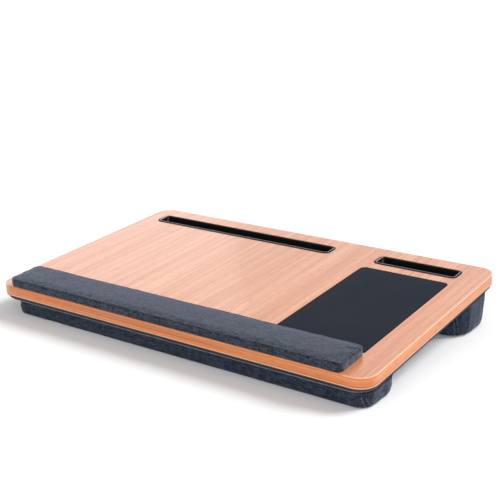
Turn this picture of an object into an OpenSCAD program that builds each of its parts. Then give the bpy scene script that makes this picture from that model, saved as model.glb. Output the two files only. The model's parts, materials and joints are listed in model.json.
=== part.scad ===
// Lap desk: a wood-laminate board with a wrist rest, an inlaid mouse pad, a phone slot
// and a tablet slot, on a cloth-covered base with a low front and a high rear cushion.
// Millimetres. X runs along the front edge, Y from front to back and Z up from the
// surface that the cushions rest on. The origin is under the middle of the board.

/* [Board] */
// Width of the board, side to side
board_w = 560; // [520:5:600]
// Depth of the board, front to back
board_d = 360; // [340:5:400]
// Thickness of the fibreboard core
core_t = 13.6; // [12:0.2:18]
// Thickness of the laminate sheet on each face
laminate_t = 0.8; // [0.6:0.1:1.2]
// Thickness of the band round the edge
band_t = 1.2; // [0.8:0.1:2]
// Radius of the board's corners, seen from above
corner_r = 22; // [18:1:32]
// Radius of the band's rounded upper and lower arris
arris_r = 1; // [0.5:0.1:1.2]
// Rise of the board towards the back, in degrees
tilt = 5.2; // [4:0.1:6]

/* [Mouse pad] */
// Width of the mouse pad
pad_w = 125.6; // [110:0.2:135]
// Distance from the pad's rear edge to the slots' flange
pad_rear_margin = 17.7; // [8:0.1:40]
// Distance from the pad's right side to the board's right side
pad_margin = 35.8; // [30:0.2:60]
// Radius of the pad's two rear corners
pad_r = 8; // [4:0.5:16]
// Thickness of the smooth face of the pad
pad_face_t = 0.6; // [0.4:0.1:1]
// Thickness of the rubber backing of the pad
pad_backing_t = 1.6; // [1:0.1:2.4]
// Gap round the pad in its recess
pad_gap = 0.5; // [0.2:0.1:1]

/* [Device slots] */
// Length of the phone slot's mouth
phone_slot_w = 113; // [90:1:118]
// Length of the tablet slot's mouth
tablet_slot_w = 300; // [240:1:305]
// Front-to-back width of both mouths
slot_d = 20.8; // [16:0.2:24]
// Depth of both pockets under the board's face
slot_depth = 10; // [7:0.5:11]
// Distance from the flange of the slots to the board's rear edge
slot_margin = 26.6; // [20:0.2:40]
// Distance from the phone slot's flange to the board's right side
phone_margin = 35.5; // [30:0.5:50]
// Distance from the tablet slot's flange to the board's left side
tablet_margin = 25; // [22:0.5:60]
// Wall and floor thickness of the moulded slot liners
liner_t = 1.4; // [1:0.1:2]
// Width of the liners' flange beyond their wall
flange_w = 2.8; // [2:0.1:4]
// Height of the flange above the board's face
flange_t = 0.9; // [0.6:0.1:1.5]
// Radius of the mouths' corners
slot_r = 4; // [3:0.5:6]
// Height of the ridge along the floor that stops a device from sliding
ridge_h = 2.4; // [1.5:0.1:3]

/* [Wrist rest] */
// Distance from the wrist rest's left end to the board's left side
rest_left = 21; // [12:1:60]
// Distance from the wrist rest's right end to the board's right side
rest_right = 33; // [12:1:60]
// Depth of the wrist rest, front to back
rest_d = 54; // [46:1:56]
// Setback of the wrist rest from the board's front edge
rest_setback = 3; // [2:0.5:8]
// Height of the wrist rest at its front ridge
rest_front_h = 12; // [10:0.5:18]
// Height of the wrist rest at its rear edge
rest_rear_h = 11.5; // [9:0.5:13]
// Radius of the wrist rest's corners, seen from above
rest_r = 9; // [8:0.5:14]
// Thickness of the stiff strip under the foam
rest_base_t = 2; // [1.5:0.1:3]
// Thickness of the wrist rest's cover
rest_cover_t = 1.2; // [0.8:0.1:1.6]

/* [Base] */
// Thickness of the hard panel screwed under the board
panel_t = 2.2; // [2:0.1:4]
// Setback of the hard panel from the board's edge
panel_inset = 0.8; // [0.4:0.2:2]
// Radius of the hard panel's corners, seen from above
panel_r = 26; // [18:1:36]
// Thickness of the cloth-wrapped panel that carries the cushions
wrap_t = 3; // [2.8:0.1:5]
// Setback of the cloth-wrapped panel from the board's edge
wrap_inset = 2.5; // [2:0.5:6]
// Radius of the wrapped panel's corners, seen from above
wrap_r = 32; // [20:1:40]
// Thickness of the cloth round the wrapped panel
wrap_cloth_t = 0.8; // [0.5:0.1:1.2]
// Outer radius of the panel screws' heads
screw_head_r = 3.4; // [3:0.1:4]
// Radius of the panel screws' shanks
screw_r = 1.6; // [1.4:0.1:2]
// Length of the panel screws
screw_l = 12; // [10:0.5:13]

/* [Cushions] */
// Height of the wrapped panel's underside over the ground, at the front edge
front_rise = 18.2; // [17.4:0.1:25]
// Distance from the front cushion's left end to the board's left side
front_left = 21.5; // [2.5:0.5:40]
// Distance from the front cushion's right end to the board's right side
front_right = 2.5; // [2.5:0.5:40]
// Depth of the front cushion, front to back
front_d = 70; // [62:1:100]
// Setback of the front cushion from the board's front edge
front_setback = 7; // [5:0.5:10]
// Radius of the front cushion's rounded lower edge
front_edge_r = 7; // [6:0.5:9]
// Distance from the rear cushion's ends to the board's sides
rear_side = 3; // [2.5:0.5:40]
// Depth of the rear cushion, front to back
rear_d = 90; // [84:1:140]
// Setback of the rear cushion from the board's rear edge
rear_setback = 5.5; // [4.5:0.5:16]
// Radius of the rear cushion's rounded lower edge
rear_edge_r = 10; // [8:0.5:16]
// Radius of the front cushion's corners, seen from above
front_r = 20; // [18:1:32]
// Radius of the rear cushion's corners, seen from above
rear_r = 30; // [22:1:40]
// Thickness of the cushion covers
cover_t = 1.2; // [1:0.1:1.4]

/* [Zips] */
// Length of the toothed part of each zip
zip_l = 240; // [180:3:300]
// Height of the slit in the cover that shows the teeth
zip_slit_h = 8; // [7.6:0.1:8.4]
// Distance between neighbouring teeth
tooth_pitch = 3; // [2.5:0.1:4]
// Length of the slider's body
slider_l = 9; // [8:0.1:10]
// Length of the pull tab from its hinge
pull_l = 20; // [14:0.5:24]

/* [Hidden] */

$fn = 48;

wood = "burlywood";
band_wood = "peru";
cloth = "slategray";
dark_cloth = "darkslategray";
foam = "lightyellow";
black_plastic = "#1c1c20";

// A hair that keeps a cut from ending on a face
cut = 0.5;
// Clearance of a moulded or pressed piece in the wood
fit_gap = 0.3;
// Clearance of soft pieces against what they lie on
soft_gap = 0.3;

wood_t = core_t + 2 * laminate_t;
stack_t = wood_t + panel_t + wrap_t;
pad_t = pad_face_t + pad_backing_t;

// Height of the board's face over the ground at the front edge
face_h = front_rise + stack_t * cos(tilt);
// Half of the ground that the tilted board covers, front to back
mid_y = (board_d * cos(tilt) + wood_t * sin(tilt)) / 2;

// Slot liners: outline of their wall, and of their flange
liner_d = slot_d + 2 * liner_t;
flange_d = liner_d + 2 * flange_w;
liner_r = slot_r + liner_t;
flange_r = liner_r + flange_w;
liner_drop = slot_depth + liner_t;
slot_y = board_d - slot_margin - flange_d / 2;
phone_x = board_w / 2 - phone_margin - phone_slot_w / 2 - liner_t - flange_w;
tablet_x = tablet_margin + tablet_slot_w / 2 + liner_t + flange_w - board_w / 2;

// The mouse pad starts at the wrist rest and ends before the slots
pad_x = board_w / 2 - pad_margin - pad_w / 2;
pad_front = rest_setback + rest_d + pad_gap;
pad_l = slot_y - flange_d / 2 - pad_rear_margin - pad_front;

rest_w = board_w - rest_left - rest_right;
rest_x = (rest_left - rest_right) / 2;
rest_y = rest_setback + rest_d / 2;
rest_ridge_r = 4;
rest_tail_r = 4;
rest_crown = 1.5;

wrap_edge_r = 2;
wrap_gap = 0.2;
stiffener_edge_r = wrap_edge_r - wrap_cloth_t - wrap_gap;

// Panel screws: one row under the wrist rest and one behind the slots
screw_rows = [rest_y, board_d - (slot_margin + flange_w) / 2];
screw_columns = 5;
screw_pitch = (board_w - 2 * corner_r - 40) / (screw_columns - 1);
pilot_gap = 0.05;
screw_cone_h = 2;

// Cushions, measured on the ground
front_w = board_w - front_left - front_right;
front_x = (front_left - front_right) / 2;
rear_w = board_w - 2 * rear_side;
front_y = front_setback * cos(tilt) + front_d / 2;
rear_y = (board_d - rear_setback) * cos(tilt) - rear_d / 2;
front_face_y = front_y + front_d / 2;
rear_face_y = rear_y - rear_d / 2;
fill_inset = cover_t + soft_gap;

// Zips: heights over the ground of their middle lines
tape_t = 0.6;
tape_h = zip_slit_h / 2 + 1.2;
front_zip_z = front_edge_r + tape_h + 0.2;
rear_zip_z = rear_edge_r + tape_h + 2;
teeth_t = 1.8;
tooth_gap = 0.7;
tooth_root = 1.7;
teeth_edge = 2.5;
tooth_count = floor(zip_l / tooth_pitch);
stop_l = 2.5;
tape_end = 8;

slider_half_h = zip_slit_h / 2 - 0.5;
plate_t = 0.9;
channel_t = teeth_t + 0.4;
flange_reach = 0.6;
post_t = 1;
post_l = 2.4;
end_gap = 0.3;
slider_x = zip_l / 2 - slider_l / 2 - end_gap;
bridge_l = 5.4;
bridge_t = 0.7;
bridge_h = 2;
bridge_half_w = 0.6;
pull_axis_y = 0.65;
pull_bar_r = 0.45;
pull_t = 1;
pull_arm = [1, 1.9];
pull_half_w = 2.5;
pull_eye_l = 3.4;
channel_depth = 3.4;

// Puts a piece drawn on the board on the ground: on the board, X is from its middle,
// Y from its front edge and Z from its face
module on_board() {
    translate([0, -mid_y, face_h])
        rotate([tilt, 0, 0])
            children();
}

module rounded_rect(w, d, r) {
    square([w - 2 * r, d], center = true);
    square([w, d - 2 * r], center = true);
    for (x = [-1, 1], y = [-1, 1])
        translate([x * (w / 2 - r), y * (d / 2 - r)])
            circle(r);
}

module rounded_plate(w, d, r, t) {
    linear_extrude(t)
        rounded_rect(w, d, r);
}

// Sweeps a profile round a rounded rectangle: its x runs outward from the line
module swept_round(w, d, r) {
    for (side = [0:3]) {
        half_w = (side % 2 == 0 ? w : d) / 2;
        half_d = (side % 2 == 0 ? d : w) / 2;
        rotate([0, 0, 90 * side])
            translate([half_w - r, half_d - r, 0]) {
                rotate_extrude(angle = 90)
                    translate([r, 0])
                        children();
                rotate([90, 0, 0])
                    linear_extrude(2 * (half_d - r))
                        translate([r, 0])
                            children();
            }
    }
}

// A plate along the board's outline, set in from its edge, with its top at z = 0
module board_plate(inset, r, t) {
    translate([0, board_d / 2, -t])
        rounded_plate(board_w - 2 * inset, board_d - 2 * inset, r, t);
}

// The mouse pad's outline: square at the wrist rest, rounded at the back
module pad_outline(gap) {
    half = pad_w / 2 + gap;
    r = pad_r + gap;
    translate([pad_x, pad_front - gap]) {
        translate([-half, 0])
            square([2 * half, pad_l + 2 * gap - r]);
        translate([-half + r, 0])
            square([2 * (half - r), pad_l + 2 * gap]);
        for (side = [-1, 1])
            translate([side * (half - r), pad_l + 2 * gap - r])
                circle(r);
    }
}

module pad_recess() {
    translate([0, 0, -pad_t])
        linear_extrude(pad_t + cut)
            pad_outline(pad_gap);
}

module at_slots() {
    translate([phone_x, slot_y, 0])
        let ($slot_w = phone_slot_w) children();
    translate([tablet_x, slot_y, 0])
        let ($slot_w = tablet_slot_w) children();
}

module slot_pockets() {
    depth = liner_drop + fit_gap;
    at_slots()
        translate([0, 0, -depth])
            rounded_plate($slot_w + 2 * (liner_t + fit_gap), liner_d + 2 * fit_gap,
                liner_r + fit_gap, depth + cut);
}

module at_screws() {
    for (y = screw_rows, i = [0:screw_columns - 1])
        translate([(i - (screw_columns - 1) / 2) * screw_pitch, y, -wood_t - panel_t])
            children();
}

module board_core() {
    color(wood)
        on_board()
            difference() {
                translate([0, 0, -laminate_t])
                    board_plate(band_t, corner_r - band_t, core_t);
                pad_recess();
                slot_pockets();
                at_screws()
                    cylinder(r = screw_r + pilot_gap, h = screw_l + cut);
            }
}

module top_laminate() {
    color(wood)
        on_board()
            difference() {
                board_plate(band_t, corner_r - band_t, laminate_t);
                pad_recess();
                slot_pockets();
            }
}

module bottom_laminate() {
    color(wood)
        on_board()
            difference() {
                translate([0, 0, -laminate_t - core_t])
                    board_plate(band_t, corner_r - band_t, laminate_t);
                at_screws()
                    cylinder(r = screw_r + pilot_gap, h = screw_l);
            }
}

module band_profile() {
    translate([-band_t, -wood_t])
        square([band_t - arris_r, wood_t]);
    translate([-arris_r, arris_r - wood_t])
        square([arris_r, wood_t - 2 * arris_r]);
    for (z = [-arris_r, arris_r - wood_t])
        translate([-arris_r, z])
            intersection() {
                circle(arris_r);
                translate([0, -arris_r])
                    square([arris_r, 2 * arris_r]);
            }
}

module edge_band() {
    color(band_wood)
        on_board()
            translate([0, board_d / 2, 0])
                swept_round(board_w, board_d, corner_r)
                    band_profile();
}

module mouse_pad_face() {
    color(dark_cloth)
        on_board()
            translate([0, 0, -pad_face_t])
                linear_extrude(pad_face_t)
                    pad_outline(0);
}

module mouse_pad_backing() {
    color("dimgray")
        on_board()
            translate([0, 0, -pad_t])
                linear_extrude(pad_backing_t)
                    pad_outline(0);
}

// Section of a liner's rim: a wall with a flange on the board and a rounded lip
module liner_profile() {
    lip = flange_t;
    reach = liner_t + flange_w;
    translate([0, -liner_drop])
        square([liner_t, liner_drop]);
    translate([lip, 0])
        square([reach - 2 * lip, flange_t]);
    for (x = [lip, reach - lip])
        translate([x, 0])
            intersection() {
                circle(lip);
                translate([-lip, 0])
                    square([2 * lip, lip]);
            }
}

// A moulded slot liner: rim, floor and a ridge along the floor
module slot_liner(w) {
    ridge_l = w - 24;
    swept_round(w, slot_d, slot_r)
        liner_profile();
    translate([0, 0, -liner_drop])
        rounded_plate(w + liner_t, slot_d + liner_t, slot_r + liner_t / 2, liner_t);
    translate([-ridge_l / 2, 0, -slot_depth])
        rotate([90, 0, 90])
            linear_extrude(ridge_l)
                intersection() {
                    circle(ridge_h);
                    translate([-ridge_h, -liner_t / 2])
                        square([2 * ridge_h, ridge_h + liner_t / 2]);
                }
}

module phone_slot_liner() {
    color(black_plastic)
        on_board()
            translate([phone_x, slot_y, 0])
                slot_liner(phone_slot_w);
}

module tablet_slot_liner() {
    color(black_plastic)
        on_board()
            translate([tablet_x, slot_y, 0])
                slot_liner(tablet_slot_w);
}

// The wrist rest's padded form, set in evenly from its outside
module rest_form(inset) {
    half_w = rest_w / 2;
    half_d = rest_d / 2;
    ridge_r = rest_ridge_r - inset;
    tail_r = rest_tail_r - inset;
    hull() {
        rounded_plate(rest_w - 2 * inset, rest_d - 2 * inset, rest_r - inset, 3, $fn = 32);
        for (side = [-1, 1]) {
            translate([side * (half_w - 7), 8 - half_d, rest_front_h - rest_ridge_r])
                sphere(ridge_r, $fn = 20);
            translate([side * (half_w - 9), 26 - half_d, rest_front_h - rest_ridge_r + rest_crown])
                sphere(ridge_r, $fn = 20);
            translate([side * (half_w - 6), half_d - 6, rest_rear_h - rest_tail_r])
                sphere(tail_r, $fn = 20);
        }
    }
}

module at_rest() {
    on_board()
        translate([rest_x, rest_y, 0])
            children();
}

module wrist_rest_base() {
    color("saddlebrown")
        at_rest()
            rounded_plate(rest_w - 2 * rest_cover_t - 1, rest_d - 2 * rest_cover_t - 1,
                rest_r - rest_cover_t - 0.5, rest_base_t);
}

module wrist_rest_foam() {
    color(foam)
        at_rest()
            intersection() {
                rest_form(rest_cover_t + soft_gap);
                translate([-rest_w / 2, -rest_d / 2, rest_base_t])
                    cube([rest_w, rest_d, rest_front_h]);
            }
}

module wrist_rest_cover() {
    color(cloth)
        at_rest()
            difference() {
                rest_form(0);
                translate([0, 0, -cut])
                    rest_form(rest_cover_t);
                rest_form(rest_cover_t);
            }
}

module base_panel() {
    color("black")
        on_board()
            difference() {
                translate([0, 0, -wood_t])
                    board_plate(panel_inset, panel_r, panel_t);
                at_screws() {
                    translate([0, 0, -cut])
                        cylinder(r = screw_r + pilot_gap, h = panel_t + 2 * cut);
                    cylinder(r1 = screw_head_r + pilot_gap, r2 = screw_r + pilot_gap,
                        h = screw_cone_h);
                }
            }
}

module panel_screws() {
    color("silver")
        on_board()
            at_screws()
                difference() {
                    union() {
                        cylinder(r1 = screw_head_r, r2 = screw_r, h = screw_cone_h);
                        cylinder(r = screw_r, h = screw_l - 2);
                        translate([0, 0, screw_l - 2])
                            cylinder(r1 = screw_r, r2 = 0.3, h = 2);
                    }
                    for (turn = [0, 90])
                        rotate([0, 0, turn])
                            cube([3.4, 0.8, 2], center = true);
                }
}

// Section of the stiffener's edge, with the lower corner rounded to suit the cloth
module stiffener_profile() {
    r = stiffener_edge_r;
    t = wrap_t - wrap_cloth_t;
    translate([-r, r - t])
        square([r, t - r]);
    translate([-r, r - t])
        intersection() {
            circle(r);
            translate([0, -r])
                square(r);
        }
}

module underside_stiffener() {
    inset = wrap_inset + wrap_cloth_t + wrap_gap;
    corner = wrap_r - wrap_cloth_t - wrap_gap;
    color("tan")
        on_board()
            translate([0, 0, -wood_t - panel_t]) {
                board_plate(inset + stiffener_edge_r, corner - stiffener_edge_r,
                    wrap_t - wrap_cloth_t);
                translate([0, board_d / 2, 0])
                    swept_round(board_w - 2 * inset, board_d - 2 * inset, corner)
                        stiffener_profile();
            }
}

// The cloth under and round the stiffener, with its lower edge rounded
module cloth_profile() {
    r = wrap_edge_r;
    translate([-wrap_cloth_t, r - wrap_t])
        square([wrap_cloth_t, wrap_t - r]);
    translate([-r, r - wrap_t])
        intersection() {
            difference() {
                circle(r);
                circle(r - wrap_cloth_t);
            }
            translate([0, -r])
                square([r, r]);
        }
}

module underside_cloth() {
    color(cloth)
        on_board()
            translate([0, 0, -wood_t - panel_t]) {
                translate([0, board_d / 2, 0])
                    swept_round(board_w - 2 * wrap_inset, board_d - 2 * wrap_inset,
                        wrap_r)
                        cloth_profile();
                translate([0, 0, wrap_cloth_t - wrap_t])
                    board_plate(wrap_inset + wrap_edge_r, wrap_r - wrap_edge_r, wrap_cloth_t);
            }
}

// A boxed cushion: straight walls, a rounded lower edge, flat on the ground and cut off
// at the top by the slope of the panel that carries it
module cushion_form(w, d, x, y, corner, edge_r, inset) {
    plan_r = corner - inset;
    r = edge_r - inset;
    tall = face_h + board_d * sin(tilt);
    difference() {
        translate([x, y - mid_y, edge_r])
            hull()
                for (side_x = [-1, 1], side_y = [-1, 1])
                    translate([side_x * (w / 2 - corner), side_y * (d / 2 - corner), 0]) {
                        cylinder(r = plan_r, h = tall, $fn = 40);
                        rotate_extrude($fn = 40)
                            translate([plan_r - r, 0])
                                intersection() {
                                    circle(r, $fn = 16);
                                    translate([0, -r])
                                        square(r);
                                }
                    }
        on_board()
            translate([-board_w, -board_d, -stack_t - soft_gap - inset])
                cube([2 * board_w, 3 * board_d, 2 * tall + board_d]);
    }
}

module front_form(inset) {
    cushion_form(front_w, front_d, front_x, front_y, front_r, front_edge_r, inset);
}

module rear_form(inset) {
    cushion_form(rear_w, rear_d, 0, rear_y, rear_r, rear_edge_r, inset);
}

// Zip frames: X along the teeth, Y out of the cover's face, Z up
module at_front_zip() {
    translate([front_x, front_face_y - mid_y, front_zip_z])
        children();
}

module at_rear_zip() {
    translate([0, rear_face_y - mid_y, rear_zip_z])
        rotate([0, 0, 180])
            children();
}

// The slit that the cover leaves over the teeth
module zip_slit() {
    l = zip_l + 2 * stop_l + 2;
    translate([-l / 2, -cover_t - cut, -zip_slit_h / 2])
        cube([l, cover_t + 2 * cut, zip_slit_h]);
}

// The hollow behind the slit in which the slider's back plate runs
module zip_channel() {
    l = zip_l + 2 * stop_l + 2 * tape_end;
    translate([-l / 2, -cover_t - channel_depth, -tape_h - 0.4])
        cube([l, channel_depth + 2, 2 * tape_h + 1.8]);
}

module zip_tapes() {
    l = zip_l + 2 * stop_l + 2 * tape_end - 2;
    color(dark_cloth)
        for (side = [0, 1])
            mirror([0, 0, side])
                translate([-l / 2, -cover_t - tape_t, teeth_edge])
                    cube([l, tape_t, tape_h - teeth_edge]);
}

// One row of teeth on its cord, as a comb with a tooth at each pitch
function comb_points(n) = concat(
    [[n * tooth_pitch, teeth_edge], [0, teeth_edge]],
    [for (i = [0:n - 1], step = [0:3])
        [(i + (step < 2 ? 0.25 : 0.75)) * tooth_pitch,
            step == 1 || step == 2 ? tooth_gap : tooth_root]]
);

module zip_teeth() {
    row_l = tooth_count * tooth_pitch;
    color("gray")
        for (side = [0, 1])
            mirror([0, 0, side])
                translate([-row_l / 2, teeth_t / 2 - cover_t - tape_t / 2, 0])
                    rotate([90, 0, 0])
                        linear_extrude(teeth_t) {
                            polygon(comb_points(tooth_count));
                            translate([0, tooth_root])
                                square([row_l, teeth_edge - tooth_root]);
                        }
}

module zip_stops() {
    row_l = tooth_count * tooth_pitch;
    color("silver")
        for (end = [-1, 1])
            translate([end * (row_l + stop_l) / 2, -cover_t - tape_t / 2, 0])
                cube([stop_l, teeth_t + 0.4, 2 * teeth_edge], center = true);
}

// The slider's body: two plates on a post, flanges over the tapes, and a bridge
module zip_slider() {
    mid = -cover_t - tape_t / 2;
    front = mid + channel_t / 2;
    back = mid - channel_t / 2;
    color("silver")
        translate([slider_x, 0, 0]) {
            for (y = [front, back - plate_t])
                translate([0, y + plate_t, 0])
                    rotate([90, 0, 0])
                        linear_extrude(plate_t)
                            rounded_rect(slider_l, 2 * slider_half_h, 1.6);
            for (side = [-1, 1], y = [front - flange_reach, back])
                translate([-slider_l / 2 + 1.6, y, side * (slider_half_h - 0.3) - 0.3])
                    cube([slider_l - 3.2, flange_reach, 0.6]);
            translate([slider_l / 2 - post_l - 0.6, back, -post_t / 2])
                cube([post_l, channel_t, post_t]);
            for (end = [-1, 1])
                translate([end * (bridge_l - bridge_t) / 2 - bridge_t / 2, front + plate_t,
                    -bridge_half_w])
                    cube([bridge_t, bridge_h, 2 * bridge_half_w]);
            translate([-bridge_l / 2, front + plate_t + bridge_h - bridge_t, -bridge_half_w])
                cube([bridge_l, bridge_t, 2 * bridge_half_w]);
        }
}

// The pull tab: a bar under the bridge, two arms and a flat tongue with a round end
module zip_pull() {
    top = channel_t / 2 + plate_t - cover_t - tape_t / 2;
    arm_w = pull_arm[1] - pull_arm[0];
    color("silver")
        translate([slider_x, top + pull_axis_y, 0]) {
            cylinder(r = pull_bar_r, h = 2 * pull_arm[1], center = true);
            for (side = [-1, 1])
                translate([0, 0, side * (pull_arm[0] + arm_w / 2)]) {
                    cylinder(r = pull_t / 2, h = arm_w, center = true);
                    translate([-pull_eye_l - 1, -pull_t / 2, -arm_w / 2])
                        cube([pull_eye_l + 1, pull_t, arm_w]);
                }
            rotate([90, 0, 0])
                translate([0, 0, -pull_t / 2])
                    linear_extrude(pull_t)
                        difference() {
                            union() {
                                translate([pull_half_w - pull_l, -pull_half_w])
                                    square([pull_l - pull_half_w - pull_eye_l,
                                        2 * pull_half_w]);
                                translate([pull_half_w - pull_l, 0])
                                    circle(pull_half_w);
                            }
                            translate([pull_half_w - pull_l, 0])
                                circle(1.2);
                        }
        }
}

module front_cushion_cover() {
    color(cloth)
        difference() {
            front_form(0);
            front_form(cover_t);
            at_front_zip()
                zip_slit();
        }
}

module front_cushion_fill() {
    color(foam)
        difference() {
            front_form(fill_inset);
            at_front_zip()
                zip_channel();
        }
}

module rear_cushion_cover() {
    color(cloth)
        difference() {
            rear_form(0);
            rear_form(cover_t);
            at_rear_zip()
                zip_slit();
        }
}

module rear_cushion_fill() {
    color(foam)
        difference() {
            rear_form(fill_inset);
            at_rear_zip()
                zip_channel();
        }
}

module front_zip_tapes() { at_front_zip() zip_tapes(); }
module front_zip_teeth() { at_front_zip() zip_teeth(); }
module front_zip_stops() { at_front_zip() zip_stops(); }
module front_zip_slider() { at_front_zip() zip_slider(); }
module front_zip_pull() { at_front_zip() zip_pull(); }
module rear_zip_tapes() { at_rear_zip() zip_tapes(); }
module rear_zip_teeth() { at_rear_zip() zip_teeth(); }
module rear_zip_stops() { at_rear_zip() zip_stops(); }
module rear_zip_slider() { at_rear_zip() zip_slider(); }
module rear_zip_pull() { at_rear_zip() zip_pull(); }

board_core();
top_laminate();
bottom_laminate();
edge_band();
mouse_pad_face();
mouse_pad_backing();
phone_slot_liner();
tablet_slot_liner();
wrist_rest_base();
wrist_rest_foam();
wrist_rest_cover();
base_panel();
panel_screws();
underside_stiffener();
underside_cloth();
front_cushion_cover();
front_cushion_fill();
rear_cushion_cover();
rear_cushion_fill();
front_zip_tapes();
front_zip_teeth();
front_zip_stops();
front_zip_slider();
front_zip_pull();
rear_zip_tapes();
rear_zip_teeth();
rear_zip_stops();
rear_zip_slider();
rear_zip_pull();
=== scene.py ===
"""Lap desk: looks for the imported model. Metres, in the frame of the CAD part.

X runs along the front edge, Y from front to back and Z up from the floor.
"""

import json
import math

import bpy
from mathutils import Matrix, Quaternion, Vector, noise
from mathutils.bvhtree import BVHTree


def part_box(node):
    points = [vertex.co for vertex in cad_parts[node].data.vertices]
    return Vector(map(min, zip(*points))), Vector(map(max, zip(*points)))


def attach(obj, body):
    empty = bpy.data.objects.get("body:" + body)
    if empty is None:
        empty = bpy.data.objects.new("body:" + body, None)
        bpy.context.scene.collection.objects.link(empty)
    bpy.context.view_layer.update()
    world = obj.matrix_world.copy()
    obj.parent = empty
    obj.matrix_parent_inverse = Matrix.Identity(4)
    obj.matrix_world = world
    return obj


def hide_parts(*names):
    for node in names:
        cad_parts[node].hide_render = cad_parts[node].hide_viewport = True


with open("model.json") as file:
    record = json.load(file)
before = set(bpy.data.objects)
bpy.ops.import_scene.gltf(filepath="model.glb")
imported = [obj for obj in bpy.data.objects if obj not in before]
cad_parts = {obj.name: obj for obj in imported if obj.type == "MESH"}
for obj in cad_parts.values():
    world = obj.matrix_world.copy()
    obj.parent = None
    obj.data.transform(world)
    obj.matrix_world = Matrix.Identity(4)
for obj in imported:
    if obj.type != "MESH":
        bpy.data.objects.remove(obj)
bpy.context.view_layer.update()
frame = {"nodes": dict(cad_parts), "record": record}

MM = 0.001

# Driving sizes of the board and of the layers under it, as in the CAD part
TILT = math.radians(5.2)
BOARD_W = 560 * MM
BOARD_D = 360 * MM
WOOD_T = 15.2 * MM
PANEL_T = 2.2 * MM
WRAP_T = 3.0 * MM
FRONT_RISE = 18.2 * MM
STACK_T = WOOD_T + PANEL_T + WRAP_T
FACE_H = FRONT_RISE + STACK_T * math.cos(TILT)
MID_Y = (BOARD_D * math.cos(TILT) + WOOD_T * math.sin(TILT)) / 2

# Gap between the wrapped panel and the cushions' covers
SOFT_GAP = 0.3 * MM

# The mouse pad's front and rear edge, from the board's front, and its corners
PAD_FRONT = 57.5 * MM
PAD_REAR = 286.5 * MM
PAD_R = 8 * MM

# The same for the slots' flanges, and the width of a flange up to the mouth
SLOT_FRONT = 304.2 * MM
SLOT_REAR = 333.4 * MM
SLOT_R = 8.2 * MM
FLANGE_W = 4.2 * MM

# Camera, found from the photo's perspective
CAMERA_PLACE = Vector((0.7243, -1.0597, 0.4648))
CAMERA_AIM = Vector((-0.0955, 0.1496, 0.0400))
CAMERA_ROLL = math.radians(0.74)
FOCAL_MM = 72.74
SENSOR_MM = 36.0

BODY = "desk"
board_axes = Matrix.Translation((0, -MID_Y, FACE_H)) @ Matrix.Rotation(TILT, 4, "X")


def under_board(y, drop):
    """Height over the floor, at ground place y, of the plane a drop below the board's face."""
    along = (y + MID_Y - drop * math.sin(TILT)) / math.cos(TILT)
    return (board_axes @ Vector((0, along, -drop))).z


# Node helpers

def add(tree, kind, inputs=None, **settings):
    """Adds a node, sets it up and links or fills the sockets named in inputs."""
    node = tree.nodes.new(kind)
    for key, value in settings.items():
        setattr(node, key, value)
    for socket, value in (inputs or {}).items():
        if isinstance(value, bpy.types.NodeSocket):
            tree.links.new(value, node.inputs[socket])
        else:
            node.inputs[socket].default_value = value
    return node


def calc(tree, operation, a, b=0.0, c=0.0):
    return add(tree, "ShaderNodeMath", {0: a, 1: b, 2: c}, operation=operation).outputs[0]


def stretched(tree, scale):
    """Object coordinates in metres, stretched by a scale for each axis."""
    place = add(tree, "ShaderNodeTexCoord").outputs["Object"]
    return add(tree, "ShaderNodeMapping", {"Vector": place, "Scale": scale}).outputs[0]


def grain(tree, vector, detail, roughness=0.55):
    return add(tree, "ShaderNodeTexNoise", {
        "Vector": vector, "Scale": 1.0, "Detail": detail, "Roughness": roughness,
    }).outputs["Fac"]


def even_grain(tree, scale, detail):
    """Noise with a number of repeats to a metre, the same every way."""
    return grain(tree, stretched(tree, (scale, scale, scale)), detail)


def spread(tree, value, low, high, to_low=0.0, to_high=1.0):
    """Maps value from low..high to to_low..to_high, clamped."""
    return add(tree, "ShaderNodeMapRange", {
        "Value": value, "From Min": low, "From Max": high,
        "To Min": to_low, "To Max": to_high,
    }).outputs[0]


def blend_colours(tree, share, first, second):
    """Mixes a share of the second colour into the first."""
    node = add(tree, "ShaderNodeMix", data_type="RGBA")
    for index, value in ((0, share), (6, first), (7, second)):
        if isinstance(value, bpy.types.NodeSocket):
            tree.links.new(value, node.inputs[index])
        elif index:
            node.inputs[index].default_value = (*value, 1.0)
        else:
            node.inputs[index].default_value = value
    return node.outputs[2]


def bump(tree, height, distance):
    return add(tree, "ShaderNodeBump", {
        "Height": height, "Distance": distance, "Strength": 1.0,
    }).outputs[0]


def material(name, **sockets):
    """A principled material and its tree, with the named sockets set."""
    made = bpy.data.materials.new(name)
    made.use_nodes = True
    tree = made.node_tree
    shader = tree.nodes["Principled BSDF"]
    for key, value in sockets.items():
        shader.inputs[key.replace("_", " ")].default_value = value
    return made, tree, shader


def toned(colour, gain, lift=0.0):
    return tuple(min(1.0, gain * part + lift) for part in colour)


def feed(tree, shader, **links):
    for key, value in links.items():
        tree.links.new(value, shader.inputs[key.replace("_", " ")])


# Materials

# Light, middle and dark tone of the wood, the pale tone of the painted highlight along its
# arrises, and the near-black tone of the painted shade along the band's lowest part
TOP_TONES = ((0.90, 0.430, 0.230), (0.79, 0.300, 0.130), (0.46, 0.120, 0.042))
BAND_TONES = ((0.92, 0.315, 0.095), (0.82, 0.230, 0.055), (0.42, 0.095, 0.020))
ARRIS_HIGHLIGHT_TONE = (0.97, 0.62, 0.42)
LOWER_EDGE_SHADE_TONE = (0.012, 0.008, 0.007)

# Height of the band that shows wood, as in the photo: below it the band is painted near black, a
# painted shade under its lower arris beside the black panel's line
BARE_WOOD_T = WOOD_T - 1.6 * MM


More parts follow.
